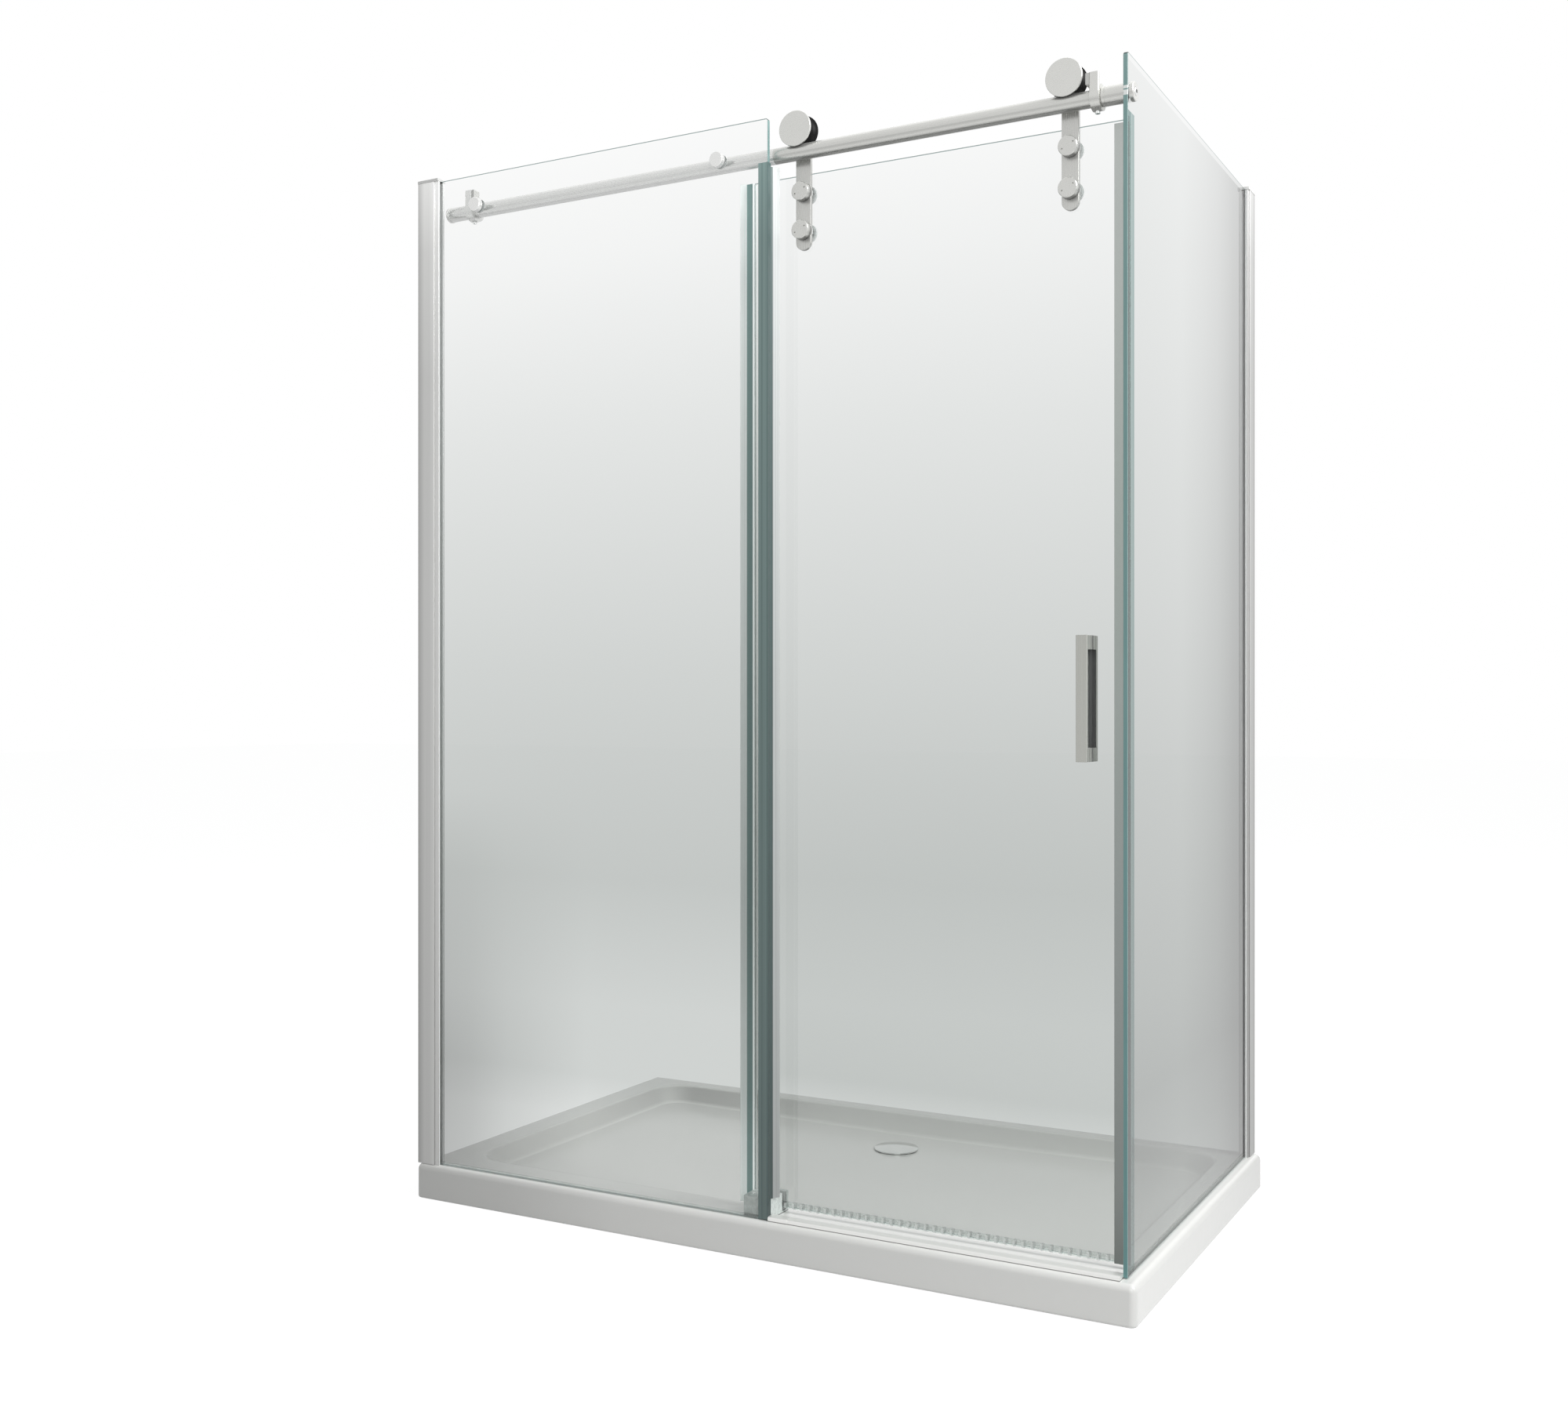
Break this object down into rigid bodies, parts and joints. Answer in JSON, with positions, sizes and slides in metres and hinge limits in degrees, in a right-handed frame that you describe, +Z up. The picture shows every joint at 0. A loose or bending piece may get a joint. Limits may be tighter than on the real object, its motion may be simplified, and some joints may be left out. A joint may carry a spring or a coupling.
{
  "type": "corner shower cabin with sliding glass door",
  "caption": "Corner shower cabin: low white tray, fixed front glass, sliding glass door hung by rollers on an open round rail, and a side glass. Its left and back sides are open.",
  "frame": {"origin": "middle of the tray's underside, on the floor", "axes": "+Z up, +X along the front from the fixed glass to the side glass, front faces -Y"},
  "size_m": [1.5, 0.9, 2.0793],
  "materials": {
    "tray_acrylic": "smooth white moulded acrylic with a soft gloss",
    "clear_glass": "clear toughened glass, polished, with green edges",
    "anodised_profile": "satin anodised, fine lengthwise drawing lines",
    "satin_steel": "satin brushed stainless steel",
    "polished_steel": "polished",
    "black_rubber": "matt black rubber",
    "wheel_plastic": "turned black plastic, satin",
    "clear_seal": "clear plastic",
    "grey_seal": "milky grey flexible plastic",
    "clear_washer": "clear hard plastic",
    "grey_plastic": "satin grey moulded plastic",
    "white_plastic": "white moulded plastic"
  },
  "bodies": {
    "cabin": {"shower_tray": "tray_acrylic", "drain_gasket": "black_rubber", "drain_body": "white_plastic", "drain_flange": "polished_steel", "drain_strainer": "satin_steel", "front_wall_channel": "anodised_profile", "front_glass_channel": "anodised_profile", "front_glazing_gasket": "black_rubber", "front_channel_cap": "grey_plastic", "side_wall_channel": "anodised_profile", "side_glass_channel": "anodised_profile", "side_glazing_gasket": "black_rubber", "side_channel_cap": "grey_plastic", "countersunk_screws": "satin_steel", "fixed_glass": "clear_glass", "side_glass": "clear_glass", "fixed_glass_sill_strip": "clear_seal", "side_glass_sill_strip": "clear_seal", "fixed_glass_edge_seal": "clear_seal", "guide_rail": "satin_steel", "rail_end_cap": "satin_steel", "rail_collar": "satin_steel", "rail_glass_bushes": "clear_washer", "rail_outer_flange": "satin_steel", "rail_flange_bolt": "polished_steel", "rail_clamp_knobs": "satin_steel", "rail_clamp_standoffs": "satin_steel", "rail_clamp_washers": "clear_washer", "stopper_left": "satin_steel", "stopper_right": "satin_steel", "stopper_buffers": "grey_plastic", "stopper_grub_screws": "polished_steel", "threshold_bar": "anodised_profile", "threshold_end_pieces": "anodised_profile", "door_guide_block": "clear_seal", "door_guide_liners": "black_rubber"},
    "door": {"door_glass": "clear_glass", "door_edge_seal": "clear_seal", "door_closing_seal": "grey_seal", "door_bottom_seal": "clear_seal", "hanger_strap_left": "satin_steel", "hanger_strap_right": "satin_steel", "strap_knobs": "satin_steel", "strap_back_discs": "satin_steel", "strap_studs": "satin_steel", "strap_glass_bushes": "clear_washer", "roller_axles": "polished_steel", "roller_spacers": "satin_steel", "axle_nuts": "polished_steel", "handle_front": "satin_steel", "handle_back": "satin_steel", "handle_screws": "satin_steel"},
    "left_roller": {"roller_wheel_left": "wheel_plastic", "roller_cap_left": "satin_steel", "roller_bearing_left": "polished_steel"},
    "right_roller": {"roller_wheel_right": "wheel_plastic", "roller_cap_right": "satin_steel", "roller_bearing_right": "polished_steel"},
    "waste_cover": {"drain_cover": "polished_steel"}
  },
  "joints": [
    {"name": "door_slide", "type": "slide", "parent": "cabin", "child": "door", "axis": [-1, 0, 0], "range_m": [0, 0.7]},
    {"name": "left_roller_spin", "type": "hinge", "parent": "door", "child": "left_roller", "pos_m": [0.113, -0.405, 2.04735], "axis": [0, -1, 0], "continuous": true},
    {"name": "right_roller_spin", "type": "hinge", "parent": "door", "child": "right_roller", "pos_m": [0.6195, -0.405, 2.04735], "axis": [0, -1, 0], "continuous": true},
    {"name": "waste_cover_lift", "type": "slide", "parent": "cabin", "child": "waste_cover", "axis": [0, 0, 1], "range_m": [0, 0.05]}
  ],
  "couplings": [
    {"joint": "left_roller_spin", "follows": "door_slide", "rad_per_m": 41.152},
    {"joint": "right_roller_spin", "follows": "door_slide", "rad_per_m": 41.152}
  ]
}
